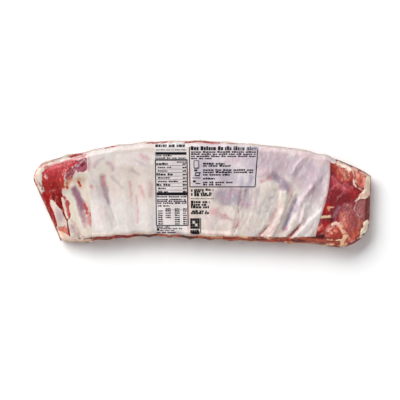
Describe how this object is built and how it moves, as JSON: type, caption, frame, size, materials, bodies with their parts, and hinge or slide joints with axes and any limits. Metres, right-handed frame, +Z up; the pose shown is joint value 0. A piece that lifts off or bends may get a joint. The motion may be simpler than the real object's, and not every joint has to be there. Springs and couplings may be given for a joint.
{
  "type": "vacuum packed rack of pork spareribs",
  "caption": "Raw St Louis style rack of pork ribs, vacuum packed bone side up in a clear shrink bag with a frosted print panel.",
  "frame": {"origin": "on the surface the pack lies on, under the middle of its bounding box", "axes": "+X along the rack towards the flap of loose meat, +Y across it towards the long arched edge, +Z up out of the bone side"},
  "size_m": [0.4568, 0.1458, 0.0302],
  "materials": {
    "raw_meat_under_film": "raw pork and fat under clear glossy shrink film",
    "frosted_print_film": "translucent white ink on shrink film, satin",
    "clear_shrink_film": "clear, wet-looking, drawn tight",
    "dark_print": "flexographic ink, satin"
  },
  "bodies": {
    "root": {"sealed_rack": "raw_meat_under_film", "print_panel": "frosted_print_film"}
  },
  "joints": []
}
